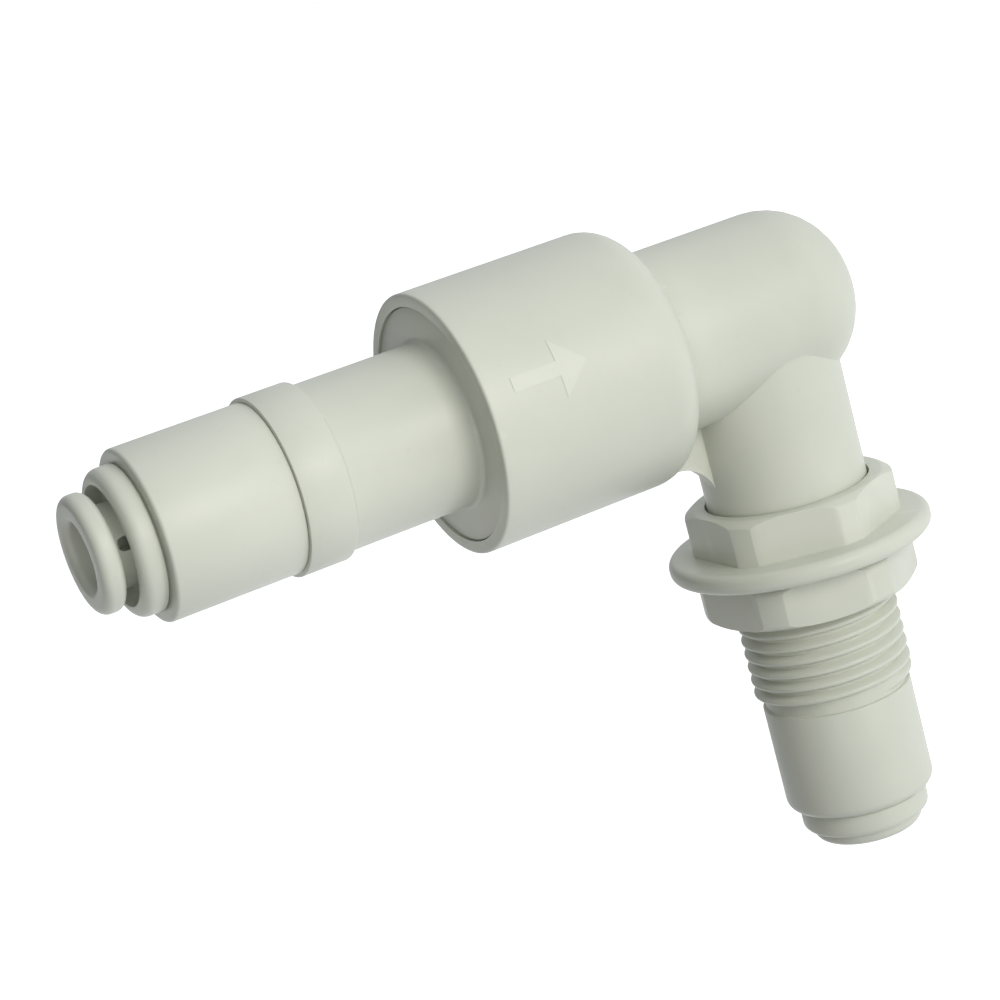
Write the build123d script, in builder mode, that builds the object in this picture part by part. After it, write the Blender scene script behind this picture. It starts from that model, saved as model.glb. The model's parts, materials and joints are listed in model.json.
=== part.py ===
"""Push to connect bulkhead elbow with a non-return valve, millimetres.

The origin is the centre of the panel flange's lower face, on the thread's axis.
+Z runs up the vertical arm towards the elbow, and the inlet arm runs along -X.
"""
import os
from math import cos, radians, sin, tan

from build123d import *

os.makedirs("parts", exist_ok=True)

# Tube and the two ports, which share one cartridge: cap, collet, teeth, spacer and seal.
tube_radius = 4.0
tube_clearance = 0.1
arm_height = 32.0
inlet_mouth_x = -84.1
outlet_mouth_z = -34.1

# Port cavity, as depths behind the mouth.
cap_socket_radius = 8.3
cap_socket_depth = 9.0
seal_seat_radius = 6.2
seal_seat_depth = 11.5
tube_stop_depth = 17.0
flow_radius = 3.5

# End cap.
cap_ring_height = 3.2
inlet_cap_radius = 9.05
inlet_cap_round = 1.5
outlet_cap_radius = 8.4
outlet_cap_round = 0.9
cap_body_depth = 8.0
cap_dish_radius = 7.4
cap_dish_floor = 1.0
cap_guide_radius = 5.23
cap_cam_start = 1.0
cap_cam_end = 5.0
cap_cam_radius = 6.7

# Collet.
collet_wall_radius = 5.15
collet_flange_radius = 7.25
collet_flange_thickness = 2.9
collet_lip_round = 0.95
collet_out_height = 7.2
outlet_collet_pushed_in = 2.25
collet_finger_depth = 4.6
collet_head_depth = 3.8
collet_head_start = 1.4
collet_head_radius = 6.0
finger_count = 4
finger_slot_width = 1.7
finger_slot_angle = 10.0
tooth_groove_radius = 5.0
tooth_groove_depth = 4.2
tooth_thickness = 0.35
tooth_bite_radius = 3.9

# Spacer ring and tube seal.
spacer_radius = 8.2
spacer_bore_radius = 4.4
spacer_thickness = 0.9
tube_seal_section = 1.05
tube_seal_mean_radius = 5.0
tube_seal_depth = 10.2

# Inlet barrel and the plug that carries it.
barrel_radius = 10.63
barrel_seam_x = -67.34
barrel_tail_radius = 9.2
barrel_tail_x = -62.2
barrel_seal_x = -64.8
barrel_seal_section = 0.6
barrel_groove_depth = 1.25
band_radius = 11.15
band_step_x = -61.1
spigot_radius = 10.43
plug_radius = 14.79
plug_face_x = -44.05
plug_back_x = -39.5
plug_seal_x = -41.4
plug_seal_section = 0.85
plug_bore_radius = 4.5
valve_seat_radius = 6.0
valve_seat_depth = 1.5

# Valve housing and elbow.
housing_radius = 16.52
housing_left_x = -44.3
housing_right_x = -15.6
housing_shoulder_round = 4.5
housing_bore_radius = 14.9
chamber_radius = 13.2
chamber_left_x = -39.3
chamber_right_x = -22.0
arm_root_x = -20.0
arm_radius = 11.8
arm_end_x = 13.9
arm_end_round = 10.0
drop_radius = 10.475
drop_foot_z = 6.4
elbow_bore_radius = 3.6
throat_radius = 9.0
throat_length = 5.0
spigot_root_round = 0.6
web_thickness = 2.0
web_left_x = -18.0
web_left_z = 16.3
web_middle_x = -12.6
web_middle_z = 14.0
web_foot_x = -10.2
web_foot_z = 9.8

# Swivel stem and its socket.
stem_radius = 6.9
stem_end_z = -10.8
stem_groove_radius = 5.6
swivel_seal_heights = {"swivel_seal_upper": -3.5, "swivel_seal_lower": -7.5}
swivel_seal_section = 0.68
swivel_groove_width = 2.0
socket_clearance = 0.07
socket_floor_z = -11.2
snap_ring_z = 2.0
snap_ring_inner = 5.9
snap_ring_outer = 8.0
snap_ring_thickness = 1.0
snap_ring_gap = 3.0

# Bulkhead body: hexagon collar, flange, pipe thread and lower barrel.
collar_flats = 25.0
collar_corner_radius = 13.65
collar_top_z = 8.4
collar_recess_radius = 10.8
collar_recess_floor_z = 6.2
flange_radius = 17.2
flange_thickness = 2.6
flange_round = 1.0
flange_land_inner = 14.6
flange_relief = 0.3
thread_major_radius = 20.955 / 2
thread_minor_radius = 18.631 / 2
thread_pitch = 25.4 / 14
thread_end_z = -19.65
outlet_barrel_radius = 9.8
outlet_edge_round = 1.4

# Locknut.
nut_flats = 26.0
nut_corner_radius = 14.1
nut_top_z = -0.4
nut_height = 6.0
nut_bore_radius = thread_major_radius + 0.08
nut_turn = 8.3

# Non-return valve.
poppet_lift = 4.0
poppet_head_radius = 7.5
poppet_front_x = -39.2
poppet_back_x = -36.8
poppet_nose_x = -41.0
poppet_nose_radius = 3.6
poppet_stem_radius = 1.9
poppet_stem_end_x = -21.5
poppet_seal_mean_radius = 6.6
poppet_seal_section = 0.6
poppet_seal_x = -38.82
guide_left_x = -25.0
guide_rim_inner = 10.4
guide_hub_radius = 4.6
guide_spoke_width = 2.4
guide_spoke_count = 3
spring_mean_radius = 3.4
spring_wire_radius = 0.3
spring_turns = 6

# Each port plane has its local x axis pointing out of the mouth and y along a radius.
inlet_port = Plane(origin=(inlet_mouth_x, 0, arm_height), x_dir=(-1, 0, 0), z_dir=(0, 1, 0))
outlet_port = Plane(origin=(0, 0, outlet_mouth_z), x_dir=(0, 0, -1), z_dir=(0, 1, 0))

# The arm plane has its local x axis along +X on the arm's axis and y along +Z.
arm_plane = Plane(origin=(0, 0, arm_height), x_dir=(1, 0, 0), z_dir=(0, -1, 0))
arm_axis = Axis((0, 0, arm_height), (1, 0, 0))


def save(part, name):
    """Label a finished piece and write it as its own file."""
    part.label = name
    export_step(part, f"parts/{name}.step")


def port_axis(port):
    """The axis of a port, pointing out of its mouth."""
    return Axis(port.origin, port.x_dir)


def make_ring(plane, axis, corners):
    """Turn one closed outline of (along, radius) points about an axis."""
    with BuildPart() as ring:
        with BuildSketch(plane):
            with BuildLine():
                Polyline(*corners, close=True)
            make_face()
        revolve(axis=axis)
    return ring.part


def make_seal(plane, axis, along, mean_radius, section):
    """A round-section rubber ring."""
    with BuildPart() as seal:
        with BuildSketch(plane):
            with Locations((along, mean_radius)):
                Circle(section)
        revolve(axis=axis)
    return seal.part


def make_port_cavity(port):
    """The hollow of a port: cap socket, seal seat and tube stop."""
    return make_ring(
        port,
        port_axis(port),
        [
            (0, 0),
            (0, cap_socket_radius),
            (-cap_socket_depth, cap_socket_radius),
            (-cap_socket_depth, seal_seat_radius),
            (-seal_seat_depth, seal_seat_radius),
            (-seal_seat_depth, tube_radius + tube_clearance),
            (-tube_stop_depth, tube_radius + tube_clearance),
            (-tube_stop_depth, 0),
        ],
    )


def make_end_cap(port, ring_radius, ring_round):
    """Ring pressed into the barrel's mouth: rounded rim, dished face and cam for the fingers."""
    with BuildPart() as end_cap:
        with BuildSketch(port):
            with BuildLine():
                Line((0, cap_socket_radius), (0, ring_radius))
                Line((0, ring_radius), (cap_ring_height - ring_round, ring_radius))
                RadiusArc(
                    (cap_ring_height - ring_round, ring_radius),
                    (cap_ring_height, ring_radius - ring_round),
                    ring_round,
                )
                Polyline(
                    (cap_ring_height, ring_radius - ring_round),
                    (cap_ring_height, cap_dish_radius),
                    (cap_dish_floor, cap_dish_radius),
                    (cap_dish_floor, cap_guide_radius),
                    (-cap_cam_start, cap_guide_radius),
                    (-cap_cam_end, cap_cam_radius),
                    (-cap_body_depth, cap_cam_radius),
                    (-cap_body_depth, cap_socket_radius),
                    (0, cap_socket_radius),
                )
            make_face()
        revolve(axis=port_axis(port))
    return end_cap.part


def make_collet(port, pushed_in):
    """Release collet: rounded flange, bore for the tube and slotted spring fingers."""
    front = collet_out_height - pushed_in
    back = front - collet_flange_thickness
    bore = tube_radius + tube_clearance
    groove_end = -tooth_groove_depth - tooth_thickness - pushed_in
    with BuildPart() as collet:
        with BuildSketch(port):
            with BuildLine():
                Polyline(
                    (front - collet_lip_round, bore),
                    (front - collet_lip_round, collet_wall_radius),
                    (-collet_head_start - pushed_in, collet_wall_radius),
                    (-collet_head_depth - pushed_in, collet_head_radius),
                    (-collet_finger_depth - pushed_in, collet_head_radius),
                    (-collet_finger_depth - pushed_in, bore),
                    close=True,
                )
            make_face()
            with Locations(((front + back) / 2, (bore + collet_flange_radius) / 2)):
                RectangleRounded(
                    collet_flange_thickness, collet_flange_radius - bore, collet_lip_round
                )
            with Locations((groove_end + tooth_thickness / 2, (bore + tooth_groove_radius) / 2)):
                Rectangle(tooth_thickness, tooth_groove_radius - bore, mode=Mode.SUBTRACT)
        revolve(axis=port_axis(port))
        slot_top = back - finger_slot_width / 4
        slot_length = slot_top + collet_finger_depth + pushed_in + collet_head_radius
        for index in range(finger_count):
            angle = finger_slot_angle + index * 360 / finger_count
            with BuildSketch(slot_plane(port, angle, slot_top - slot_length / 2)):
                SlotOverall(slot_length, finger_slot_width)
            extrude(amount=2 * collet_head_radius, mode=Mode.SUBTRACT)
    return collet.part


def slot_plane(port, angle, along):
    """Plane that faces outwards at an angle round a port, with x along the port's axis."""
    outwards = port.y_dir * sin(radians(angle)) - port.z_dir * cos(radians(angle))
    return Plane(origin=port.origin + port.x_dir * along, x_dir=port.x_dir, z_dir=outwards)


def make_collet_teeth(port, pushed_in):
    """Four thin steel grips, one held in each finger."""
    end = -tooth_groove_depth - tooth_thickness - pushed_in
    with BuildPart() as teeth:
        with BuildSketch(port):
            with Locations((end + tooth_thickness / 2, (tooth_bite_radius + tooth_groove_radius) / 2)):
                Rectangle(tooth_thickness, tooth_groove_radius - tooth_bite_radius)
        revolve(axis=port_axis(port))
        for index in range(finger_count):
            angle = finger_slot_angle + index * 360 / finger_count
            with BuildSketch(slot_plane(port, angle, end)):
                Rectangle(4 * tooth_thickness, 2 * finger_slot_width)
            extrude(amount=2 * collet_head_radius, mode=Mode.SUBTRACT)
    return teeth.part


def make_spacer(port):
    """Flat ring between the end cap and the tube seal."""
    far = -cap_socket_depth + 0.05
    return make_ring(
        port,
        port_axis(port),
        [
            (far, spacer_bore_radius),
            (far, spacer_radius),
            (far + spacer_thickness, spacer_radius),
            (far + spacer_thickness, spacer_bore_radius),
        ],
    )


def make_cartridge(port, prefix, ring_radius, ring_round, pushed_in):
    """Write the five pieces of one port's cartridge."""
    save(make_end_cap(port, ring_radius, ring_round), f"{prefix}_end_cap")
    save(make_collet(port, pushed_in), f"{prefix}_collet")
    save(make_collet_teeth(port, pushed_in), f"{prefix}_collet_teeth")
    save(make_spacer(port), f"{prefix}_spacer_ring")
    seal = make_seal(
        port, port_axis(port), -tube_seal_depth, tube_seal_mean_radius, tube_seal_section
    )
    save(seal, f"{prefix}_tube_seal")


# The inlet collet stands right out of its cap, and the outlet collet is partly pressed in.
make_cartridge(inlet_port, "inlet", inlet_cap_radius, inlet_cap_round, 0.0)
make_cartridge(
    outlet_port, "outlet", outlet_cap_radius, outlet_cap_round, outlet_collet_pushed_in
)


# Inlet barrel: plain sleeve whose tail plugs into the band of the valve plug.
inlet_cavity = make_port_cavity(inlet_port)
with BuildPart() as inlet_barrel:
    with BuildSketch(arm_plane):
        with BuildLine():
            Polyline(
                (inlet_mouth_x, 0),
                (inlet_mouth_x, barrel_radius - 0.5),
                (inlet_mouth_x + 0.5, barrel_radius),
                (barrel_seam_x - 0.15, barrel_radius),
                (barrel_seam_x, barrel_radius - 0.15),
                (barrel_seam_x, barrel_tail_radius),
                (barrel_tail_x, barrel_tail_radius),
                (barrel_tail_x, 0),
                close=True,
            )
        make_face()
    revolve(axis=arm_axis)
    add(inlet_cavity, mode=Mode.SUBTRACT)
    with BuildSketch(Plane.YZ.offset(inlet_mouth_x)):
        with Locations((0, arm_height)):
            Circle(flow_radius)
    extrude(amount=barrel_tail_x - inlet_mouth_x, mode=Mode.SUBTRACT)
    with BuildSketch(arm_plane):
        with Locations((barrel_seal_x, barrel_tail_radius)):
            Rectangle(3 * barrel_seal_section, 2 * barrel_groove_depth)
    revolve(axis=arm_axis, mode=Mode.SUBTRACT)
save(inlet_barrel.part, "inlet_barrel")

save(
    make_seal(
        arm_plane,
        arm_axis,
        barrel_seal_x,
        barrel_tail_radius - barrel_seal_section,
        barrel_seal_section,
    ),
    "barrel_seal",
)


# Valve plug: disc that closes the housing, spigot, and band with the barrel's socket.
with BuildPart() as valve_plug:
    with BuildSketch(arm_plane) as plug_outline:
        with BuildLine():
            Polyline(
                (barrel_seam_x, barrel_tail_radius),
                (barrel_seam_x, band_radius - 0.15),
                (barrel_seam_x + 0.15, band_radius),
                (band_step_x - 0.3, band_radius),
                (band_step_x, band_radius - 0.3),
                (band_step_x, spigot_radius),
                (plug_face_x, spigot_radius),
                (plug_face_x, plug_radius),
                (plug_back_x, plug_radius),
                (plug_back_x, valve_seat_radius),
                (plug_back_x - valve_seat_depth, plug_bore_radius),
                (barrel_tail_x, plug_bore_radius),
                (barrel_tail_x, barrel_tail_radius),
                close=True,
            )
        make_face()
        with Locations((plug_seal_x, plug_radius)):
            Rectangle(2.4 * plug_seal_section, 4 * plug_seal_section, mode=Mode.SUBTRACT)
    revolve(axis=arm_axis)
    spigot_root = valve_plug.edges().filter_by(GeomType.CIRCLE).filter_by_position(
        Axis.X, plug_face_x - 0.01, plug_face_x + 0.01
    )
    fillet(spigot_root.sort_by(SortBy.RADIUS)[0], spigot_root_round)
save(valve_plug.part, "valve_plug")

save(
    make_seal(
        arm_plane,
        arm_axis,
        plug_seal_x,
        plug_radius - plug_seal_section + 0.05,
        plug_seal_section,
    ),
    "plug_seal",
)


# Elbow body: valve housing, arm, drop and web in one moulding.
with BuildPart() as elbow_body:
    with BuildSketch(arm_plane) as housing_outline:
        with BuildLine():
            Polyline(
                (housing_left_x, 0),
                (housing_left_x, housing_radius - 0.4),
                (housing_left_x + 0.4, housing_radius),
                (housing_right_x - housing_shoulder_round, housing_radius),
            )
            RadiusArc(
                (housing_right_x - housing_shoulder_round, housing_radius),
                (housing_right_x, housing_radius - housing_shoulder_round),
                housing_shoulder_round,
            )
            Polyline(
                (housing_right_x, housing_radius - housing_shoulder_round),
                (housing_right_x, 0),
                (housing_left_x, 0),
            )
        make_face()
    revolve(axis=arm_axis)
    with BuildSketch(arm_plane) as arm_outline:
        with BuildLine():
            Polyline(
                (arm_root_x, 0),
                (arm_root_x, arm_radius),
                (arm_end_x - arm_end_round, arm_radius),
            )
            RadiusArc(
                (arm_end_x - arm_end_round, arm_radius),
                (arm_end_x, arm_radius - arm_end_round),
                arm_end_round,
            )
            Polyline(
                (arm_end_x, arm_radius - arm_end_round),
                (arm_end_x, 0),
                (arm_root_x, 0),
            )
        make_face()
    revolve(axis=arm_axis)
    with BuildSketch(Plane.XY.offset(drop_foot_z)):
        Circle(drop_radius)
    extrude(amount=arm_height - drop_foot_z)
    with BuildSketch(Plane.XZ) as web_outline:
        with BuildLine():
            web_edge = ThreePointArc(
                (web_left_x, web_left_z), (web_middle_x, web_middle_z), (web_foot_x, web_foot_z)
            )
            Polyline(
                web_edge @ 1,
                (0, web_foot_z),
                (0, arm_height),
                (web_left_x, arm_height),
                web_edge @ 0,
            )
        make_face()
    extrude(amount=web_thickness / 2, both=True)
    with BuildSketch(arm_plane) as passage_outline:
        with BuildLine():
            Polyline(
                (housing_left_x, 0),
                (housing_left_x, housing_bore_radius),
                (chamber_left_x, housing_bore_radius),
                (chamber_left_x, chamber_radius),
                (chamber_right_x, chamber_radius),
                (chamber_right_x, throat_radius),
                (chamber_right_x + throat_length, elbow_bore_radius),
                (elbow_bore_radius, elbow_bore_radius),
                (elbow_bore_radius, 0),
                close=True,
            )
        make_face()
    revolve(axis=arm_axis, mode=Mode.SUBTRACT)
    with BuildSketch(Plane.XY.offset(drop_foot_z)):
        Circle(elbow_bore_radius)
    extrude(amount=arm_height - drop_foot_z, mode=Mode.SUBTRACT)
save(elbow_body.part, "elbow_body")


# Swivel stem: grooved hollow spindle, welded to the drop's foot.
with BuildPart() as swivel_stem:
    with BuildSketch(Plane.XZ) as stem_outline:
        with BuildLine():
            Polyline(
                (elbow_bore_radius, drop_foot_z),
                (stem_radius, drop_foot_z),
                (stem_radius, stem_end_z + 0.8),
                (stem_radius - 0.8, stem_end_z),
                (elbow_bore_radius, stem_end_z),
                close=True,
            )
        make_face()
        for height in swivel_seal_heights.values():
            with Locations((stem_radius, height)):
                Rectangle(
                    2 * (stem_radius - stem_groove_radius), swivel_groove_width, mode=Mode.SUBTRACT
                )
        with Locations((stem_radius, snap_ring_z)):
            Rectangle(
                2 * (stem_radius - snap_ring_inner) + 0.4,
                snap_ring_thickness + 0.4,
                mode=Mode.SUBTRACT,
            )
    revolve(axis=Axis.Z)
save(swivel_stem.part, "swivel_stem")

for name, height in swivel_seal_heights.items():
    ring_radius = (stem_groove_radius + stem_radius + socket_clearance) / 2
    save(make_seal(Plane.XZ, Axis.Z, ring_radius, height, swivel_seal_section), name)


# Snap ring: open ring in the groove of the swivel socket.
with BuildPart() as swivel_snap_ring:
    with BuildSketch(Plane.XY.offset(snap_ring_z - snap_ring_thickness / 2)):
        Circle(snap_ring_outer)
        Circle(snap_ring_inner, mode=Mode.SUBTRACT)
        with Locations((0, snap_ring_outer)):
            Rectangle(snap_ring_gap, snap_ring_outer, mode=Mode.SUBTRACT)
    extrude(amount=snap_ring_thickness)
save(swivel_snap_ring.part, "swivel_snap_ring")


def make_turned_blank(low, high, radius, low_chamfer, high_chamfer):
    """Turned bar with chamfered ends, which rounds off a hexagon's corners."""
    slope = tan(radians(30))
    return make_ring(
        Plane.XZ,
        Axis.Z,
        [
            (0, low),
            (radius - low_chamfer, low),
            (radius, low + low_chamfer * slope),
            (radius, high - high_chamfer * slope),
            (radius - high_chamfer, high),
            (0, high),
        ],
    )


# Hexagon collar above the flange.
collar_foot_z = flange_thickness / 2
collar_blank = make_turned_blank(collar_foot_z, collar_top_z, collar_corner_radius, 0.2, 1.2)
with BuildPart() as collar:
    with BuildSketch(Plane.XY.offset(collar_foot_z)):
        RegularPolygon(collar_flats / 2, 6, major_radius=False)
    extrude(amount=collar_top_z - collar_foot_z)
    add(collar_blank, mode=Mode.INTERSECT)


# Helical rib of the pipe thread.
def make_thread_rib():
    """One trapezoid rib swept round the core from the nut's seat to the thread's end."""
    length = -thread_end_z - thread_pitch
    rib_root = thread_minor_radius - 0.25
    half_root = 0.44 * thread_pitch
    half_crest = 0.08 * thread_pitch
    with BuildPart() as rib:
        with BuildLine(Plane.XY.offset(thread_end_z + thread_pitch / 2)):
            path = Helix(thread_pitch, length, thread_minor_radius)
        start = Plane(origin=path @ 0, x_dir=(1, 0, 0), z_dir=path % 0)
        with BuildSketch(start):
            with BuildLine():
                Polyline(
                    (rib_root - thread_minor_radius, -half_root),
                    (thread_major_radius - thread_minor_radius, -half_crest),
                    (thread_major_radius - thread_minor_radius, half_crest),
                    (rib_root - thread_minor_radius, half_root),
                    close=True,
                )
            make_face()
        sweep(path=path, is_frenet=True)
    return rib.part


thread_rib = make_thread_rib()
outlet_cavity = make_port_cavity(outlet_port)

# Swivel socket and outlet cavity, cut through the flange and the sleeve alike.
socket_cavity = make_ring(
    Plane.XZ,
    Axis.Z,
    [
        (0, collar_top_z),
        (collar_recess_radius, collar_top_z),
        (collar_recess_radius, collar_recess_floor_z),
        (stem_radius + socket_clearance, collar_recess_floor_z),
        (stem_radius + socket_clearance, socket_floor_z),
        (flow_radius, socket_floor_z),
        (flow_radius, outlet_mouth_z + seal_seat_depth),
        (0, outlet_mouth_z + seal_seat_depth),
    ],
)

# Bulkhead body: hexagon collar and round panel flange.
with BuildPart() as bulkhead_body:
    with BuildSketch(Plane.XZ) as flange_outline:
        with BuildLine():
            Polyline(
                (0, flange_thickness),
                (flange_radius, flange_thickness),
                (flange_radius, 0),
                (flange_land_inner, 0),
                (flange_land_inner, flange_relief),
                (0, flange_relief),
                close=True,
            )
        make_face()
        rim = flange_outline.vertices().group_by(Axis.X)[-1]
        fillet(rim, flange_round)
    revolve(axis=Axis.Z)
    add(collar.part)
    add(socket_cavity, mode=Mode.SUBTRACT)
    with BuildSketch(Plane.XZ):
        with Locations((snap_ring_outer - 1.0, snap_ring_z)):
            Rectangle(2.4, snap_ring_thickness + 0.1)
    revolve(axis=Axis.Z, mode=Mode.SUBTRACT)
save(bulkhead_body.part, "bulkhead_body")


# Threaded sleeve: pipe thread and lower barrel, welded to the flange's lower face.
with BuildPart() as threaded_sleeve:
    with BuildSketch(Plane.XZ) as sleeve_outline:
        with BuildLine():
            Polyline(
                (0, flange_relief),
                (thread_minor_radius, flange_relief),
                (thread_minor_radius, thread_end_z),
                (outlet_barrel_radius, thread_end_z),
                (outlet_barrel_radius, outlet_mouth_z + outlet_edge_round),
            )
            RadiusArc(
                (outlet_barrel_radius, outlet_mouth_z + outlet_edge_round),
                (outlet_barrel_radius - outlet_edge_round, outlet_mouth_z),
                outlet_edge_round,
            )
            Polyline(
                (outlet_barrel_radius - outlet_edge_round, outlet_mouth_z),
                (0, outlet_mouth_z),
                (0, flange_relief),
            )
        make_face()
    revolve(axis=Axis.Z)
    add(thread_rib)
    add(socket_cavity, mode=Mode.SUBTRACT)
    add(outlet_cavity, mode=Mode.SUBTRACT)
save(threaded_sleeve.part, "threaded_sleeve")


# Locknut.
nut_foot_z = nut_top_z - nut_height
nut_blank = make_turned_blank(nut_foot_z, nut_top_z, nut_corner_radius, 1.2, 1.2)
with BuildPart() as locknut:
    with BuildSketch(Plane.XY.offset(nut_foot_z)):
        RegularPolygon(nut_flats / 2, 6, major_radius=False, rotation=nut_turn)
        Circle(nut_bore_radius, mode=Mode.SUBTRACT)
    extrude(amount=nut_height)
    add(nut_blank, mode=Mode.INTERSECT)
save(locknut.part, "locknut")


# Poppet: nose, head with a seal groove, and guide stem.
with BuildPart() as poppet:
    with BuildSketch(arm_plane):
        with BuildLine():
            Polyline(
                (poppet_nose_x, 0),
                (poppet_nose_x, poppet_nose_radius),
                (poppet_front_x, poppet_nose_radius + 1.75),
                (poppet_front_x, poppet_head_radius),
                (poppet_back_x - 0.5, poppet_head_radius),
                (poppet_back_x, poppet_head_radius - 0.5),
                (poppet_back_x, poppet_stem_radius),
                (poppet_stem_end_x - 0.4, poppet_stem_radius),
                (poppet_stem_end_x, poppet_stem_radius - 0.4),
                (poppet_stem_end_x, 0),
                close=True,
            )
        make_face()
        with Locations((poppet_front_x + 0.5, poppet_seal_mean_radius)):
            Rectangle(1.0, 2.1 * poppet_seal_section, mode=Mode.SUBTRACT)
    revolve(axis=arm_axis)
save(poppet.part, "poppet")

save(
    make_seal(
        arm_plane, arm_axis, poppet_seal_x, poppet_seal_mean_radius, poppet_seal_section
    ),
    "poppet_seal",
)


# Valve guide: rim, hub and three spokes at the right-hand end of the chamber.
with BuildPart() as valve_guide:
    with BuildSketch(Plane.YZ.offset(guide_left_x)):
        with Locations((0, arm_height)):
            Circle(chamber_radius - 0.05)
            Circle(guide_rim_inner, mode=Mode.SUBTRACT)
            Circle(guide_hub_radius)
            with PolarLocations((guide_hub_radius + guide_rim_inner) / 2, guide_spoke_count, 90):
                Rectangle(guide_rim_inner - guide_hub_radius + 2.0, guide_spoke_width)
            Circle(poppet_stem_radius + 0.08, mode=Mode.SUBTRACT)
    extrude(amount=chamber_right_x - guide_left_x)
save(valve_guide.part, "valve_guide")


# Valve spring: open coil between the poppet's back and the guide's hub.
spring_left_x = poppet_back_x + spring_wire_radius + 0.1
spring_length = guide_left_x - spring_wire_radius - 0.1 - spring_left_x
coil = Helix(
    spring_length / spring_turns,
    spring_length,
    spring_mean_radius,
    center=(spring_left_x, 0, arm_height),
    direction=(1, 0, 0),
    mode=Mode.PRIVATE,
)
with BuildPart() as valve_spring:
    with BuildSketch(Plane(origin=coil @ 0, z_dir=coil % 0)):
        Circle(spring_wire_radius)
    sweep(path=coil, is_frenet=True)
save(valve_spring.part, "valve_spring")
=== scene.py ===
"""Looks of a push to connect bulkhead elbow with a non-return valve, in metres."""

import json
import math

import bmesh
import bpy
from mathutils import Matrix, Vector


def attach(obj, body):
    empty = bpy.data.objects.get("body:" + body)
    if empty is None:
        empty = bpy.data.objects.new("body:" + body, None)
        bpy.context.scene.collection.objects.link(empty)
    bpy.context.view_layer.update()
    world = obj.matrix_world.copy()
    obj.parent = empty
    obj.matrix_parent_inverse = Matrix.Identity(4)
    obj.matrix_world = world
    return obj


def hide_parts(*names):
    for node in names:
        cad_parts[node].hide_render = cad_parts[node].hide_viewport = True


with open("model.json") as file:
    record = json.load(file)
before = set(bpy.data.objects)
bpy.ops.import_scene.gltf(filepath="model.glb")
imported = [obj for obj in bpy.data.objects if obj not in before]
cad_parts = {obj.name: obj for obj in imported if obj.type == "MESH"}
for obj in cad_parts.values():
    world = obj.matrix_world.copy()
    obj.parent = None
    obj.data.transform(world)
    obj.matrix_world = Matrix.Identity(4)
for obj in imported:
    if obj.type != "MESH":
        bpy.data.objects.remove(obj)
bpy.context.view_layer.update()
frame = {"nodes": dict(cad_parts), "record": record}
mm = 0.001

# ---------------------------------------------------------------------------
# Inlet barrel: a plain moulded acetal sleeve with the tube socket inside.
# Its tail is plugged and welded into the band of the valve plug at the seam.
# ---------------------------------------------------------------------------
arm_height = 32.0
inlet_mouth = -84.1
outlet_mouth = -34.1
mouth_radius = 8.3
seal_seat = 6.2
tube_socket = 4.1
port_bore = 3.5
barrel_radius = 10.63
barrel_step = -67.36
tail_radius = 9.2
tail_end = -62.2
turn_steps = 160
whole_edge = 40.0


def shade_by_angle(bm, limit=32.0):
    """Smooth faces, with edges sharper than the limit kept crisp."""
    for face in bm.faces:
        face.smooth = True
    for edge in bm.edges:
        edge.smooth = not edge.is_manifold or edge.calc_face_angle(0.0) < math.radians(limit)


def make_object(name, bm):
    """Turn a finished bmesh into an object that sits at the origin."""
    mesh = bpy.data.meshes.new(name)
    bm.to_mesh(mesh)
    bm.free()
    piece = bpy.data.objects.new(name, mesh)
    bpy.context.collection.objects.link(piece)
    return piece


def outline_face(bm, corners, place):
    """One flat face from (along, radius, round) corners in millimetres, its corners rounded."""
    verts = [bm.verts.new(place(along, radius)) for along, radius, _ in corners]
    bm.faces.new(verts)
    for size in sorted({rounding for _, _, rounding in corners if rounding}):
        chosen = [v for v, (_, _, rounding) in zip(verts, corners) if rounding == size]
        bmesh.ops.bevel(
            bm,
            geom=chosen,
            offset=size * mm,
            offset_type="OFFSET",
            segments=max(2, min(10, round(size * 8))),
            profile=0.5,
            affect="VERTICES",
            material=-1,
            clamp_overlap=False,
        )


def on_arm(along, radius):
    """A point above the arm's axis, which runs along X."""
    return Vector((along * mm, 0.0, (arm_height + radius) * mm))


def on_drop(along, radius):
    """A point beside the vertical axis, in front of it."""
    return Vector((0.0, -radius * mm, along * mm))


def turn(name, corners, place, steps=turn_steps, longest=whole_edge):
    """Turn an outline a full circle about the arm's or the drop's axis."""
    bm = bmesh.new()
    outline_face(bm, corners, place)
    bmesh.ops.delete(bm, geom=bm.faces[:], context="FACES_ONLY")
    for edge in bm.edges[:]:
        cuts = int(edge.calc_length() / (longest * mm))
        if cuts:
            bmesh.ops.bisect_edges(bm, edges=[edge], cuts=cuts)
    centre = place(0.0, 0.0)
    axis = (place(1.0, 0.0) - centre).normalized()
    bmesh.ops.spin(
        bm,
        geom=bm.verts[:] + bm.edges[:],
        cent=centre,
        axis=axis,
        dvec=(0.0, 0.0, 0.0),
        angle=math.tau,
        steps=steps,
        use_merge=True,
        use_duplicate=False,
    )
    bmesh.ops.remove_doubles(bm, verts=bm.verts[:], dist=1e-6)
    bmesh.ops.recalc_face_normals(bm, faces=bm.faces[:])
    shade_by_angle(bm)
    return make_object(name, bm)


def coat(piece, material):
    """Give a piece one material, in place of any that it has."""
    piece.data.materials.clear()
    piece.data.materials.append(material)


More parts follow.
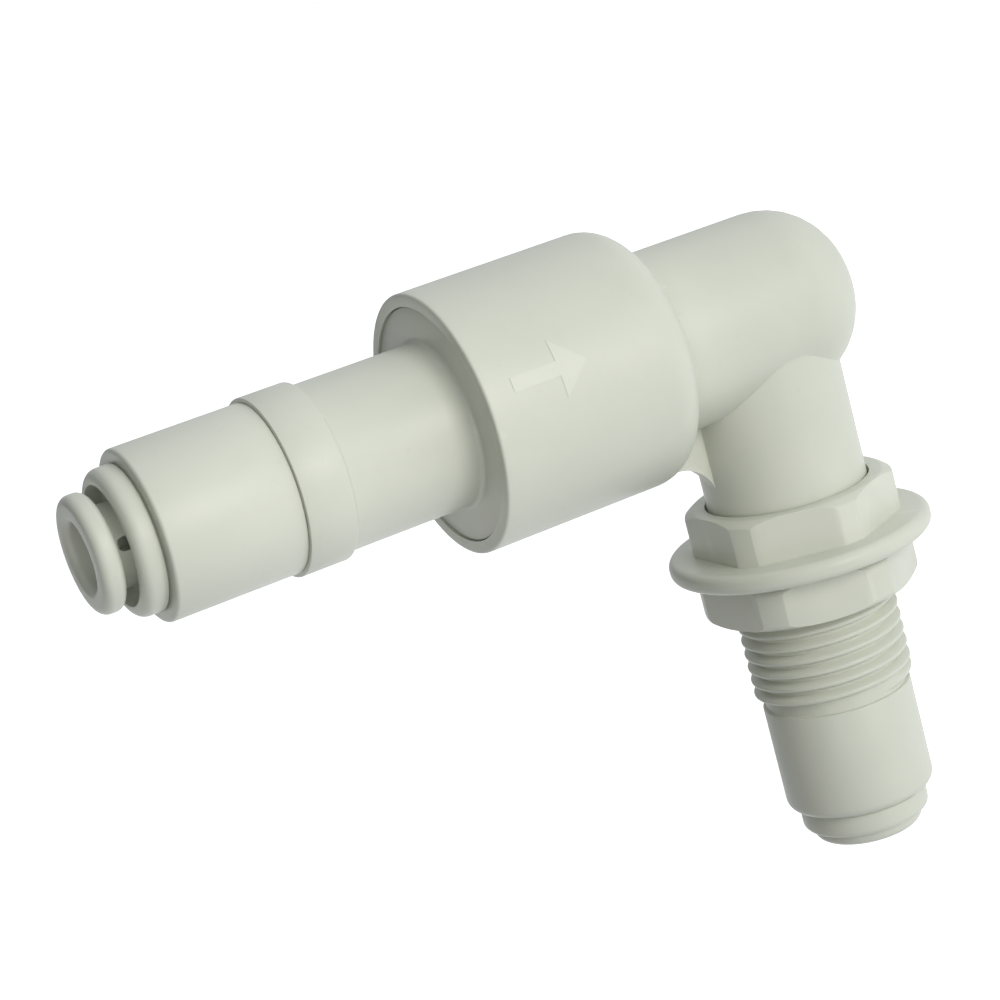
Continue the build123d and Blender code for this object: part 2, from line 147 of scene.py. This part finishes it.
class Signal:
    """A shader socket that can be added, subtracted and multiplied."""

    def __init__(self, tree, socket):
        self.tree = tree
        self.socket = socket

    def maths(self, operation, first, second):
        node = self.tree.nodes.new("ShaderNodeMath")
        node.operation = operation
        for slot, value in zip(node.inputs, (first, second)):
            if isinstance(value, Signal):
                self.tree.links.new(value.socket, slot)
            else:
                slot.default_value = value
        return Signal(self.tree, node.outputs[0])

    def __add__(self, other):
        return self.maths("ADD", self, other)

    def __sub__(self, other):
        return self.maths("SUBTRACT", self, other)

    def __mul__(self, other):
        return self.maths("MULTIPLY", self, other)

    def __rsub__(self, other):
        return self.maths("SUBTRACT", other, self)

    __radd__ = __add__
    __rmul__ = __mul__


class Finish:
    """One procedural material, built node by node."""

    def __init__(self, name):
        self.material = bpy.data.materials.new(name)
        self.material.use_nodes = True
        self.tree = self.material.node_tree
        self.tree.nodes.clear()
        self.where = self.node("ShaderNodeTexCoord", output="Object")

    def node(self, kind, settings=None, inputs=None, output=0):
        made = self.tree.nodes.new(kind)
        for key, value in (settings or {}).items():
            if key == "stops":
                self.set_ramp(made.color_ramp, value)
            else:
                setattr(made, key, value)
        for key, value in (inputs or {}).items():
            if isinstance(value, Signal):
                self.tree.links.new(value.socket, made.inputs[key])
            else:
                made.inputs[key].default_value = value
        return Signal(self.tree, made.outputs[output])

    def set_ramp(self, ramp, stops):
        while len(ramp.elements) < len(stops):
            ramp.elements.new(1.0)
        for element, (position, value) in zip(ramp.elements, stops):
            element.position = position
            element.color = (value, value, value, 1.0)

    def noise(self, scale, detail=2.0, stretch=(1.0, 1.0, 1.0), roughness=0.5):
        place = self.node("ShaderNodeMapping", inputs={"Vector": self.where, "Scale": stretch})
        return self.node(
            "ShaderNodeTexNoise",
            inputs={"Vector": place, "Scale": scale, "Detail": detail, "Roughness": roughness},
        )

    def ramp(self, signal, *stops):
        return self.node("ShaderNodeValToRGB", {"stops": stops}, {"Fac": signal})

    def mix(self, amount, first, second):
        return self.node(
            "ShaderNodeMix",
            {"data_type": "RGBA"},
            {0: amount, 6: first, 7: second},
            output=2,
        )

    def bump(self, height, distance, strength=1.0):
        return self.node(
            "ShaderNodeBump",
            inputs={"Height": height, "Distance": distance, "Strength": strength},
        )

    def shine(self, colour, roughness, normal, **constants):
        inputs = {"Base Color": colour, "Roughness": roughness, "Normal": normal}
        inputs.update({key.replace("_", " "): value for key, value in constants.items()})
        shader = self.node("ShaderNodeBsdfPrincipled", inputs=inputs, output="BSDF")
        out = self.tree.nodes.new("ShaderNodeOutputMaterial")
        self.tree.links.new(shader.socket, out.inputs["Surface"])
        return self.material


def edge_wear(finish):
    """Paler, slightly polished rims where the moulding has been rubbed."""
    rim = finish.node("ShaderNodeNewGeometry", output="Pointiness")
    return finish.ramp(rim, (0.505, 0.0), (0.56, 1.0))


def moulded_acetal(name, pale, deep):
    """Light grey acetal: faint flow marks, handling scuffs and a fine satin grain."""
    finish = Finish(name)
    clouds = finish.noise(38.0, 3.0)
    flow = finish.noise(140.0, 4.0, roughness=0.6)
    specks = finish.ramp(finish.noise(900.0, 2.0), (0.70, 0.0), (0.76, 1.0))
    scuffs = finish.ramp(finish.noise(260.0, 6.0, (1.0, 3.5, 0.6), 0.7), (0.58, 0.0), (0.70, 1.0))
    tone = clouds * 0.65 + flow * 0.35
    body = finish.mix(finish.ramp(tone, (0.35, 0.0), (0.65, 1.0)), deep, pale)
    worn = finish.mix(edge_wear(finish) * 0.35, body, (0.70, 0.71, 0.63, 1.0))
    colour = finish.mix(specks * 0.10, worn, (0.42, 0.42, 0.38, 1.0))
    roughness = 0.36 + flow * 0.12 + scuffs * 0.10
    grain = finish.noise(5200.0, 2.0)
    height = grain * 0.55 + flow * 1.4 - scuffs * 0.6
    normal = finish.bump(height, 0.00002, 0.55)
    return finish.shine(colour, roughness, normal, Specular_IOR_Level=0.45)


light_grey = moulded_acetal(
    "light_grey_acetal", (0.620, 0.632, 0.550, 1.0), (0.580, 0.597, 0.520, 1.0)
)

barrel_corners = [
    (inlet_mouth, mouth_radius, 0.15),
    (inlet_mouth, barrel_radius, 0.5),
    (barrel_step, barrel_radius, 0.14),
    (barrel_step, tail_radius, 0.1),
    (tail_end, tail_radius, 0.2),
    (tail_end, port_bore, 0.2),
    (-67.1, port_bore, 0.0),
    (-67.1, tube_socket, 0.0),
    (-72.6, tube_socket, 0.2),
    (-72.6, seal_seat, 0.0),
    (-75.1, seal_seat, 0.1),
    (-75.1, mouth_radius, 0.0),
]
inlet_barrel = turn("inlet_barrel_shell", barrel_corners, on_arm)
coat(inlet_barrel, light_grey)
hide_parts("inlet_barrel")
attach(inlet_barrel, "elbow")

# ---------------------------------------------------------------------------
# Valve plug: acetal disc with its spigot and the larger band that takes the
# barrel. It is pressed into the housing's mouth, where a fine joint shows.
# ---------------------------------------------------------------------------
band_left = -67.3
band_right = -61.1
band_radius = 11.15
band_socket = 9.22
band_floor = -62.15
spigot_radius = 10.43
disc_left = -44.05
disc_right = -39.5
disc_radius = 14.79
ring_groove = 13.1
plug_bore = 4.5

plug_corners = [
    (band_left, band_socket, 0.1),
    (band_left, band_radius, 0.14),
    (band_right, band_radius, 0.35),
    (band_right, spigot_radius, 0.15),
    (disc_left, spigot_radius, 0.6),
    (disc_left, disc_radius, 0.15),
    (-42.4, disc_radius, 0.05),
    (-42.4, ring_groove, 0.1),
    (-40.4, ring_groove, 0.1),
    (-40.4, disc_radius, 0.05),
    (disc_right, disc_radius, 0.2),
    (disc_right, 6.0, 0.15),
    (-41.0, plug_bore, 0.2),
    (band_floor, plug_bore, 0.1),
    (band_floor, band_socket, 0.1),
]
valve_plug = turn("valve_plug_shell", plug_corners, on_arm)
coat(valve_plug, light_grey)
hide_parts("valve_plug")
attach(valve_plug, "elbow")

# ---------------------------------------------------------------------------
# End caps: rings pressed into the two port mouths. Each has a rounded rim, a
# dished face for the collet's flange, and a cam inside for its fingers.
# ---------------------------------------------------------------------------
cap_skirt = 8.28
cap_foot_height = 0.28
cap_height = 3.2
cap_depth = -8.0
cap_guide = 5.23
cap_cam = 6.7


def cap_corners(foot, rim, rounding):
    """Outline of an end cap, whose rim stands on a slightly smaller foot."""
    return [
        (0.0, cap_skirt, 0.0),
        (0.0, foot, 0.0),
        (cap_foot_height, foot, 0.05),
        (cap_foot_height, rim, 0.05),
        (cap_height, rim, rounding),
        (cap_height, 7.4, 0.08),
        (1.0, 7.25, 0.25),
        (1.0, cap_guide, 0.15),
        (-1.0, cap_guide, 0.2),
        (-5.0, cap_cam, 0.3),
        (cap_depth, cap_cam, 0.1),
        (cap_depth, cap_skirt, 0.3),
    ]


def port_outline(mouth, corners, shift=0.0):
    """Corners given outwards from a port's mouth, as corners along its axis."""
    return [(mouth - along - shift, radius, rounding) for along, radius, rounding in corners]


for prefix, mouth, place, body, rim_outline in (
    ("inlet", inlet_mouth, on_arm, "elbow", cap_corners(8.55, 9.05, 1.35)),
    ("outlet", outlet_mouth, on_drop, "bulkhead", cap_corners(8.3, 8.4, 0.8)),
):
    end_cap = turn(f"{prefix}_end_cap_ring", port_outline(mouth, rim_outline), place)
    coat(end_cap, light_grey)
    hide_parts(f"{prefix}_end_cap")
    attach(end_cap, body)

# ---------------------------------------------------------------------------
# Collets: acetal release sleeves with a rolled lip. Four slots part the spring
# fingers, and the slots' round ends show between the lip and the cap.
# ---------------------------------------------------------------------------
collet_top = 7.2
collet_foot = -4.6
lip_radius = 7.25
lip_underside = 4.3
sleeve_radius = 5.15
finger_radius = 6.0
tooth_groove = 5.0

collet_corners = [
    (collet_top, tube_socket, 1.0),
    (collet_top, lip_radius, 1.2),
    (lip_underside, lip_radius, 1.1),
    (lip_underside, sleeve_radius, 0.25),
    (-1.4, sleeve_radius, 0.4),
    (-3.8, finger_radius, 0.3),
    (collet_foot, finger_radius, 0.2),
    (collet_foot, tube_socket, 0.2),
    (-4.55, tube_socket, 0.0),
    (-4.55, tooth_groove, 0.0),
    (-4.2, tooth_groove, 0.0),
    (-4.2, tube_socket, 0.0),
]
slot_width = 1.7
slot_tilt = -10.0
slot_reach = 3.9
slot_count = 4
bar_length = 16.0
bar_depth = 6.0
bar_middle = 6.2
bar_rounding = 0.45
nearly_parallel = 0.99


def discard(piece):
    """Remove an object that is no longer needed, with its mesh."""
    mesh = piece.data
    bpy.data.objects.remove(piece)
    bpy.data.meshes.remove(mesh)


def bake(piece, modifier):
    """Keep what a modifier makes of a piece, and drop the modifier."""
    graph = bpy.context.evaluated_depsgraph_get()
    result = bpy.data.meshes.new_from_object(piece.evaluated_get(graph))
    piece.modifiers.remove(modifier)
    old = piece.data
    piece.data = result
    result.name = piece.name
    bpy.data.meshes.remove(old)


def reshade(piece, merge=0.0, others=()):
    """Shade a piece afresh, after merging close points or adding other shells."""
    bm = bmesh.new()
    bm.from_mesh(piece.data)
    if merge:
        bmesh.ops.remove_doubles(bm, verts=bm.verts[:], dist=merge)
    for other in others:
        bm.from_mesh(other.data)
        discard(other)
    shade_by_angle(bm)
    bm.to_mesh(piece.data)
    bm.free()


def cut_away(piece, cutter, operation="DIFFERENCE"):
    """Cut, join or intersect one closed solid with another, and keep the result."""
    modifier = piece.modifiers.new("cut", "BOOLEAN")
    modifier.operation = operation
    modifier.solver = "EXACT"
    modifier.object = cutter
    bake(piece, modifier)
    discard(cutter)
    reshade(piece, merge=1e-7)


def make_slot_cutter(mouth, place, shift):
    """Round-ended bars that cut the finger slots, set square to the port's axis."""
    bm = bmesh.new()
    centre = place(0.0, 0.0)
    along = (place(1.0, 0.0) - centre).normalized()
    start = mouth - slot_reach + shift
    for index in range(slot_count):
        angle = math.radians(slot_tilt + 360.0 / slot_count * index)
        out = Matrix.Rotation(angle, 3, along) @ Vector((0.0, -1.0, 0.0))
        side = along.cross(out)
        bar = bmesh.new()
        bmesh.ops.create_cube(bar, size=1.0)
        spans = ((along, bar_length), (side, slot_width), (out, bar_depth))
        rows = [[way[axis] * span * mm for way, span in spans] + [0.0] for axis in range(3)]
        stretch = Matrix(rows + [[0.0, 0.0, 0.0, 1.0]])
        bmesh.ops.transform(bar, matrix=stretch, verts=bar.verts[:])
        middle = centre + along * (start + bar_length / 2) * mm + out * bar_middle * mm
        bmesh.ops.translate(bar, vec=middle, verts=bar.verts[:])
        ends = [
            edge
            for edge in bar.edges
            if abs((edge.verts[0].co - edge.verts[1].co).normalized().dot(out)) > nearly_parallel
            and (edge.verts[0].co - middle).dot(along) < 0.0
        ]
        bmesh.ops.bevel(
            bar,
            geom=ends,
            offset=slot_width * bar_rounding * mm,
            offset_type="OFFSET",
            segments=6,
            profile=0.5,
            affect="EDGES",
            material=-1,
        )
        mesh = bpy.data.meshes.new("bar")
        bar.to_mesh(mesh)
        bar.free()
        bm.from_mesh(mesh)
        bpy.data.meshes.remove(mesh)
    bmesh.ops.recalc_face_normals(bm, faces=bm.faces[:])
    return make_object("slot_cutter", bm)


for prefix, mouth, place, pushed_in in (
    ("inlet", inlet_mouth, on_arm, 0.0),
    ("outlet", outlet_mouth, on_drop, 2.25),
):
    collet = turn(
        f"{prefix}_collet_sleeve", port_outline(mouth, collet_corners, -pushed_in), place
    )
    cut_away(collet, make_slot_cutter(mouth, place, pushed_in))
    coat(collet, light_grey)
    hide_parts(f"{prefix}_collet")
    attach(collet, f"{prefix}_release")

# ---------------------------------------------------------------------------
# Elbow body: one acetal moulding of valve housing, arm, drop and web, with a
# raised flow arrow on its front. The grooved stem below is welded on.
# ---------------------------------------------------------------------------
housing_left = -44.3
housing_right = -15.6
housing_radius = 16.52
arm_radius = 11.8
arm_end = 13.9
chamber_mouth = 14.9
chamber_radius = 13.2
flow_bore = 3.6
drop_radius = 10.475
drop_foot = 6.4
web_half_thickness = 1.0
short_facet = 0.9

housing_corners = [
    (housing_left, 0.0, 0.0),
    (housing_left, housing_radius, 0.35),
    (housing_right, housing_radius, 4.45),
    (housing_right, arm_radius, 0.0),
    (arm_end, arm_radius, 10.0),
    (arm_end, 0.0, 0.0),
]
chamber_corners = [
    (-50.0, 0.0, 0.0),
    (-50.0, chamber_mouth, 0.0),
    (-39.3, chamber_mouth, 0.1),
    (-39.3, chamber_radius, 0.2),
    (-22.0, chamber_radius, 0.6),
    (-22.0, 9.0, 0.3),
    (-17.0, flow_bore, 0.6),
    (flow_bore, flow_bore, 0.5),
    (flow_bore, 0.0, 0.0),
]
drop_corners = [
    (arm_height, 0.0, 0.0),
    (arm_height, drop_radius, 0.0),
    (drop_foot, drop_radius, 0.2),
    (drop_foot, 0.0, 0.0),
]
drop_bore_corners = [
    (arm_height, 0.0, 0.0),
    (arm_height, flow_bore, 0.5),
    (5.0, flow_bore, 0.0),
    (5.0, 0.0, 0.0),
]
web_corners = [
    (-18.0, 16.2, 0.0),
    (-10.3, 15.2, 4.2),
    (-10.3, 9.8, 0.0),
    (-2.0, 9.8, 0.0),
    (-2.0, 30.0, 0.0),
    (-18.0, 30.0, 0.0),
]


def draw_out(bm, step):
    """Draw flat faces out into a solid, by one step."""
    made = bmesh.ops.extrude_face_region(bm, geom=bm.faces[:])
    moved = [item for item in made["geom"] if isinstance(item, bmesh.types.BMVert)]
    bmesh.ops.translate(bm, vec=step, verts=moved)


def make_web():
    """Flat web with a concave lower edge, standing in the plane of both arms."""
    bm = bmesh.new()
    outline_face(bm, web_corners, lambda x, z: Vector((x * mm, -web_half_thickness * mm, z * mm)))
    draw_out(bm, (0.0, 2 * web_half_thickness * mm, 0.0))
    bmesh.ops.recalc_face_normals(bm, faces=bm.faces[:])
    return make_object("web", bm)


arrow_points = [
    (-40.6, -0.9),
    (-34.4, -0.9),
    (-34.4, -3.6),
    (-30.6, 0.0),
    (-34.4, 3.6),
    (-34.4, 0.9),
    (-40.6, 0.9),
]
arrow_middle = 5.0
arrow_height = 0.06
arrow_sunk = 0.4
arrow_facet = 0.5
arrow_facets = 8
corner_gap = 0.01


def make_arrow():
    """Plain flow arrow, standing a hair above the housing and wrapped round it."""
    bm = bmesh.new()
    bm.faces.new([bm.verts.new((x * mm, around * mm, 0.0)) for x, around in arrow_points])
    for step in range(-arrow_facets, arrow_facets + 1):
        bmesh.ops.bisect_plane(
            bm,
            geom=bm.verts[:] + bm.edges[:] + bm.faces[:],
            plane_co=(0.0, (step * arrow_facet + corner_gap) * mm, 0.0),
            plane_no=(0.0, 1.0, 0.0),
        )
    draw_out(bm, (0.0, 0.0, (arrow_sunk + arrow_height) * mm))
    for vert in bm.verts:
        x, around, out = vert.co
        reach = (housing_radius - arrow_sunk) * mm + out
        angle = (around / mm + arrow_middle) / housing_radius
        vert.co = (x, -reach * math.cos(angle), arm_height * mm + reach * math.sin(angle))
    bmesh.ops.recalc_face_normals(bm, faces=bm.faces[:])
    return make_object("arrow", bm)


elbow = turn("elbow_moulding", housing_corners, on_arm, longest=short_facet)
cut_away(elbow, turn("drop", drop_corners, on_drop, longest=short_facet), "UNION")
cut_away(elbow, make_web(), "UNION")
cut_away(elbow, turn("chamber", chamber_corners, on_arm))
cut_away(elbow, turn("drop_bore", drop_bore_corners, on_drop, steps=64))
reshade(elbow, others=[make_arrow()])
coat(elbow, light_grey)
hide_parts("elbow_body")
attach(elbow, "elbow")

# ---------------------------------------------------------------------------
# Bulkhead body and threaded sleeve: round flange with a hexagon collar, and the
# pipe thread and lower barrel welded below it, round the swivel socket.
# ---------------------------------------------------------------------------
flange_top = 2.6
flange_radius = 17.2
flange_relief = 14.6
relief_top = 0.3
swivel_socket = 6.97
socket_floor = -11.2
snap_groove = 8.2
lower_radius = 9.8
collar_flats = 25.0
collar_low = 1.3
collar_high = 8.4
collar_corner = 13.65
recess_radius = 10.8
recess_floor = 6.2
soft_edge = 0.28
soft_angle = 25.0

thread_pitch = 25.4 / 14
thread_root = 9.3155
thread_crest = 20.955 / 2
thread_foot = -19.65
thread_start = thread_foot + thread_pitch * 0.47
thread_turns = 10
thread_steps = 96
rib_sunk = 0.15
rib_foot = thread_root - rib_sunk
half_rib_foot = 0.45 * thread_pitch
half_rib_crest = 0.13 * thread_pitch
crest_rounding = 0.18
run_out_angle = 1.2
first_turn = 0.95

bulkhead_corners = [
    (flange_top, swivel_socket, 0.1),
    (flange_top, flange_radius, 1.15),
    (0.0, flange_radius, 1.1),
    (0.0, flange_relief, 0.1),
    (relief_top, flange_relief, 0.1),
    (relief_top, thread_root, 0.1),
    (thread_foot, thread_root, 0.1),
    (thread_foot, lower_radius, 0.2),
    (outlet_mouth, lower_radius, 1.35),
    (outlet_mouth, mouth_radius, 0.03),
    (-25.1, mouth_radius, 0.0),
    (-25.1, seal_seat, 0.1),
    (-22.6, seal_seat, 0.0),
    (-22.6, tube_socket, 0.2),
    (-17.1, tube_socket, 0.0),
    (-17.1, port_bore, 0.1),
    (socket_floor, port_bore, 0.1),
    (socket_floor, swivel_socket, 0.3),
    (1.4, swivel_socket, 0.05),
    (1.4, snap_groove, 0.1),
    (2.55, snap_groove, 0.1),
    (2.55, swivel_socket, 0.0),
]
collar_blank_corners = [
    (collar_low, 0.0, 0.0),
    (collar_low, collar_corner, 0.0),
    (7.7, collar_corner, 0.3),
    (collar_high, 12.45, 0.2),
    (collar_high, 0.0, 0.0),
]
collar_recess_corners = [
    (9.0, 0.0, 0.0),
    (9.0, recess_radius, 0.0),
    (recess_floor, recess_radius, 0.3),
    (recess_floor, swivel_socket, 0.0),
    (0.5, swivel_socket, 0.0),
    (0.5, 0.0, 0.0),
]


def make_hexagon(flats, low, high, turned):
    """Plain hexagon bar on the drop's axis, turned by an angle in degrees."""
    bm = bmesh.new()
    across_corners = flats / 2 / math.cos(math.pi / 6)
    bmesh.ops.create_circle(bm, cap_ends=True, segments=6, radius=across_corners * mm)
    spin = Matrix.Rotation(math.radians(turned), 3, "Z")
    bmesh.ops.rotate(bm, cent=(0, 0, 0), matrix=spin, verts=bm.verts[:])
    bmesh.ops.translate(bm, vec=(0, 0, low * mm), verts=bm.verts[:])
    draw_out(bm, (0, 0, (high - low) * mm))
    bmesh.ops.recalc_face_normals(bm, faces=bm.faces[:])
    return make_object("hexagon", bm)


def soften_edges(piece):
    """Break every sharp edge of a cut piece with a small moulded round."""
    modifier = piece.modifiers.new("soft_edges", "BEVEL")
    modifier.width = soft_edge * mm
    modifier.segments = 3
    modifier.limit_method = "ANGLE"
    modifier.angle_limit = math.radians(soft_angle)
    modifier.use_clamp_overlap = True
    bake(piece, modifier)
    reshade(piece)


def make_thread():
    """Helical rib with sloping flanks and a rounded crest, rising out of the root."""
    bm = bmesh.new()
    rib = [
        (thread_start - half_rib_foot, rib_foot, 0.0),
        (thread_start - half_rib_crest, thread_crest, crest_rounding),
        (thread_start + half_rib_crest, thread_crest, crest_rounding),
        (thread_start + half_rib_foot, rib_foot, 0.0),
    ]
    outline_face(bm, rib, on_drop)
    bmesh.ops.spin(
        bm,
        geom=bm.verts[:] + bm.edges[:] + bm.faces[:],
        cent=(0.0, 0.0, 0.0),
        axis=(0.0, 0.0, 1.0),
        dvec=(0.0, 0.0, thread_pitch / thread_steps * mm),
        angle=math.tau * thread_turns,
        steps=thread_steps * thread_turns,
        use_merge=False,
        use_duplicate=False,
    )
    for vert in bm.verts:
        x, y, z = vert.co / mm
        turned = math.atan2(x, -y) % math.tau
        risen = thread_start + thread_pitch * turned / math.tau
        if turned < run_out_angle and abs(z - risen) < first_turn:
            radius = math.hypot(x, y)
            lowered = rib_foot + (radius - rib_foot) * turned / run_out_angle
            vert.co.x *= lowered / radius
            vert.co.y *= lowered / radius
    bmesh.ops.recalc_face_normals(bm, faces=bm.faces[:])
    return make_object("thread", bm)


collar = make_hexagon(collar_flats, collar_low, collar_high, 0.0)
cut_away(collar, turn("collar_blank", collar_blank_corners, on_drop), "INTERSECT")
cut_away(collar, turn("collar_recess", collar_recess_corners, on_drop))
soften_edges(collar)
bulkhead = turn("bulkhead_moulding", bulkhead_corners, on_drop)
reshade(bulkhead, others=[collar, make_thread()])
coat(bulkhead, light_grey)
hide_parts("bulkhead_body", "threaded_sleeve")
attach(bulkhead, "bulkhead")

# ---------------------------------------------------------------------------
# Locknut: acetal hexagon nut, chamfered on both faces, run up the thread by
# hand until it stops just below the flange.
# ---------------------------------------------------------------------------
nut_flats = 26.0
nut_low = -6.4
nut_high = -0.4
nut_turned = 8.3
nut_face = 12.9
nut_corner = 14.1
nut_bore = 10.56

nut_blank_corners = [
    (nut_low, 0.0, 0.0),
    (nut_low, nut_face, 0.3),
    (-5.7, nut_corner, 0.4),
    (-1.1, nut_corner, 0.4),
    (nut_high, nut_face, 0.3),
    (nut_high, 0.0, 0.0),
]
nut_bore_corners = [
    (0.5, 0.0, 0.0),
    (0.5, 11.5, 0.0),
    (-1.2, nut_bore, 0.0),
    (-5.6, nut_bore, 0.0),
    (-7.4, 11.6, 0.0),
    (-7.4, 0.0, 0.0),
]
locknut = make_hexagon(nut_flats, nut_low, nut_high, nut_turned)
cut_away(locknut, turn("nut_blank", nut_blank_corners, on_drop), "INTERSECT")
cut_away(locknut, turn("nut_bore", nut_bore_corners, on_drop))
soften_edges(locknut)
locknut.name = "locknut_moulding"
coat(locknut, light_grey)
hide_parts("locknut")
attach(locknut, "nut")

# ---------------------------------------------------------------------------
# Inside pieces: seals of black nitrile rubber, stainless grips and spring,
# and the small acetal rings and valve parts. They keep their designed shapes.
# ---------------------------------------------------------------------------


def nitrile_rubber():
    finish = Finish("nitrile_rubber")
    dust = finish.ramp(finish.noise(600.0, 5.0), (0.45, 0.0), (0.70, 1.0))
    colour = finish.mix(dust * 0.25, (0.012, 0.012, 0.013, 1.0), (0.06, 0.058, 0.055, 1.0))
    roughness = 0.42 + dust * 0.20
    normal = finish.bump(finish.noise(4000.0, 3.0), 0.00001, 0.4)
    return finish.shine(colour, roughness, normal, Specular_IOR_Level=0.4)


def drawn_stainless():
    finish = Finish("drawn_stainless")
    draw = finish.noise(900.0, 4.0, (0.25, 1.0, 1.0))
    colour = finish.mix(draw, (0.50, 0.50, 0.50, 1.0), (0.66, 0.66, 0.65, 1.0))
    roughness = 0.22 + draw * 0.16
    normal = finish.bump(draw, 0.000008, 0.5)
    return finish.shine(colour, roughness, normal, Metallic=1.0)


inside_finishes = {
    "seal_rubber": nitrile_rubber(),
    "stainless": drawn_stainless(),
    "grey_acetal": light_grey,
}
for subpart in frame["record"]["subparts"]:
    node = frame["nodes"][subpart["node"]]
    coat(node, inside_finishes[subpart["material_slot"]])

# ---------------------------------------------------------------------------
# Stage: a pale matt floor well under the fitting, soft panels in front, at the
# left and overhead, and a white surround, with the camera low on the left.
# ---------------------------------------------------------------------------
floor_drop = 170.0
floor_half_width = 4000.0
surround_fade = (-0.8, 0.3, 0.03, 0.86)


def matt_white():
    finish = Finish("matt_white_floor")
    mottle = finish.noise(6.0, 2.0)
    colour = finish.mix(mottle, (0.90, 0.90, 0.90, 1.0), (0.93, 0.93, 0.93, 1.0))
    normal = finish.bump(mottle, 0.0001, 0.1)
    return finish.shine(
        colour, 0.9, normal, Emission_Color=(1.0, 1.0, 1.0, 1.0), Emission_Strength=0.75
    )


floor_bm = bmesh.new()
bmesh.ops.create_grid(floor_bm, x_segments=2, y_segments=2, size=floor_half_width * mm)
bmesh.ops.translate(floor_bm, vec=(0.0, 0.0, -floor_drop * mm), verts=floor_bm.verts[:])
floor = make_object("floor", floor_bm)
coat(floor, matt_white())
floor.visible_diffuse = False

# The surround lights the fitting softly, fades towards the left, and looks pure
# white behind it.
world = bpy.data.worlds.new("studio")
world.use_nodes = True
studio = world.node_tree
glow = studio.nodes["Background"]
glow.inputs["Color"].default_value = (0.94, 0.97, 1.0, 1.0)
facing = studio.nodes.new("ShaderNodeTexCoord")
split = studio.nodes.new("ShaderNodeSeparateXYZ")
fade = studio.nodes.new("ShaderNodeMapRange")
for socket, value in zip(fade.inputs[1:5], surround_fade):
    socket.default_value = value
studio.links.new(facing.outputs["Generated"], split.inputs[0])
studio.links.new(split.outputs["X"], fade.inputs["Value"])
studio.links.new(fade.outputs[0], glow.inputs["Strength"])
backdrop = studio.nodes.new("ShaderNodeBackground")
backdrop.inputs["Color"].default_value = (1.0, 1.0, 1.0, 1.0)
backdrop.inputs["Strength"].default_value = 1.0
seen = studio.nodes.new("ShaderNodeLightPath")
choose = studio.nodes.new("ShaderNodeMixShader")
studio.links.new(seen.outputs["Is Camera Ray"], choose.inputs[0])
studio.links.new(glow.outputs[0], choose.inputs[1])
studio.links.new(backdrop.outputs[0], choose.inputs[2])
studio.links.new(choose.outputs[0], studio.nodes["World Output"].inputs["Surface"])
bpy.context.scene.world = world


def soft_panel(name, where, aim, size, power, colour):
    """A square studio panel pointed at a place on the fitting, all in millimetres."""
    light = bpy.data.lights.new(name, "AREA")
    light.size = size * mm
    light.energy = power
    light.color = colour
    lamp = bpy.data.objects.new(name, light)
    bpy.context.collection.objects.link(lamp)
    lamp.location = Vector(where) * mm
    way = (Vector(aim) - Vector(where)).normalized()
    lamp.rotation_mode = "QUATERNION"
    lamp.rotation_quaternion = way.to_track_quat("-Z", "Y")


soft_panel("front_panel", (60, -440, 190), (-30, 0, 20), 220, 0.95, (1.0, 0.99, 0.93))
soft_panel("left_panel", (-330, -400, 60), (-20, 0, 10), 200, 0.42, (1.0, 1.0, 0.96))
soft_panel("overhead_panel", (-40, -60, 420), (-30, 0, 20), 420, 0.12, (0.90, 0.97, 1.0))

camera_azimuth = -23.4
camera_elevation = 13.6
camera_roll = -15.3
camera_distance = 366.0
camera_aim = (-29.8, 21.4, 14.9)
camera_lens = 100.96

camera_data = bpy.data.cameras.new("camera")
camera_data.lens = camera_lens
camera_data.sensor_width = 36.0
camera = bpy.data.objects.new("camera", camera_data)
bpy.context.collection.objects.link(camera)
turn_round = math.radians(camera_azimuth)
tip = math.radians(camera_elevation)
forward = Vector(
    (-math.sin(turn_round) * math.cos(tip), math.cos(turn_round) * math.cos(tip), -math.sin(tip))
)
camera.rotation_mode = "QUATERNION"
level = forward.to_track_quat("-Z", "Y")
camera.rotation_quaternion = level @ Matrix.Rotation(
    math.radians(camera_roll), 3, "Z"
).to_quaternion()
camera.location = (Vector(camera_aim) - forward * camera_distance) * mm
bpy.context.scene.camera = camera
bpy.context.scene.view_settings.view_transform = "Standard"
